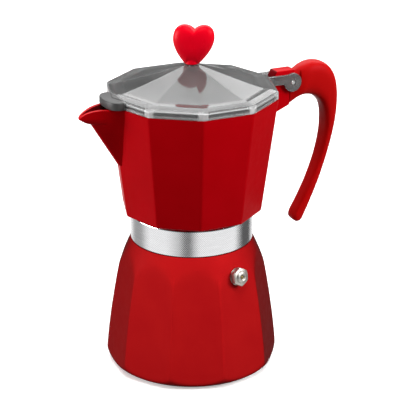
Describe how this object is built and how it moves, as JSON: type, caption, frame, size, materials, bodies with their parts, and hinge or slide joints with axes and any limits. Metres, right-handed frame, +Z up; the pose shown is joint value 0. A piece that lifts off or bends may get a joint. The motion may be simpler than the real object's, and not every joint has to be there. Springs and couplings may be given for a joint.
{
  "type": "moka pot",
  "caption": "Stovetop coffee pot: faceted boiler with safety valve, screw-on faceted collector with spout, smoky hinged lid with heart knob, and hook handle.",
  "frame": {"origin": "centre of the boiler's flat underside", "axes": "+Z up along the pot's axis, +X towards the handle, -X towards the spout, +Y to the left of the handle seen from above"},
  "size_m": [0.1754, 0.1088, 0.2196],
  "materials": {
    "red_paint": "satin red enamel paint on cast aluminium",
    "red_plastic": "satin moulded red plastic",
    "heart_red": "bright red plastic with a soft gloss",
    "smoky_plastic": "glossy smoky transparent plastic",
    "polished_band": "polished metal with a fine diagonal knurl",
    "bare_aluminium": "bare spun aluminium",
    "steel": "plain bright steel",
    "nickel": "nickel plate",
    "brass": "turned brass",
    "seal_rubber": "off-white silicone rubber"
  },
  "bodies": {
    "boiler_body": {"boiler": "red_paint", "valve_body": "nickel", "valve_washer": "nickel", "valve_seat": "brass", "valve_spring": "steel"},
    "valve_stem": {"valve_piston": "brass"},
    "funnel_body": {"funnel": "bare_aluminium", "funnel_screen": "bare_aluminium"},
    "collector_body": {"collector": "red_paint", "collar_band": "polished_band", "coffee_column": "bare_aluminium", "column_cap": "steel", "seal_ring": "seal_rubber", "filter_plate": "bare_aluminium", "hinge_pin": "steel", "handle": "red_plastic", "handle_screw": "steel"},
    "lid_body": {"lid": "smoky_plastic", "knob": "heart_red", "knob_washer": "steel", "knob_screw": "steel"}
  },
  "joints": [
    {"name": "collector_turn", "type": "hinge", "parent": "boiler_body", "child": "funnel_body", "pos_m": [0, 0, 0.097], "axis": [0, 0, 1], "range_deg": [0, 720]},
    {"name": "collector_lift", "type": "slide", "parent": "funnel_body", "child": "collector_body", "axis": [0, 0, 1], "range_m": [0, 0.0061]},
    {"name": "lid_hinge", "type": "hinge", "parent": "collector_body", "child": "lid_body", "pos_m": [0.0669, 0, 0.1764], "axis": [0, 1, 0], "range_deg": [0, 95]},
    {"name": "valve_slide", "type": "slide", "parent": "boiler_body", "child": "valve_stem", "axis": [0.2477, -0.9508, 0.1861], "range_m": [0, 0.001], "stiffness_N_per_m": 3000, "springref_m": -0.0008}
  ],
  "couplings": [
    {"joint": "collector_lift", "follows": "collector_turn", "m_per_rad": 0.00047746}
  ]
}
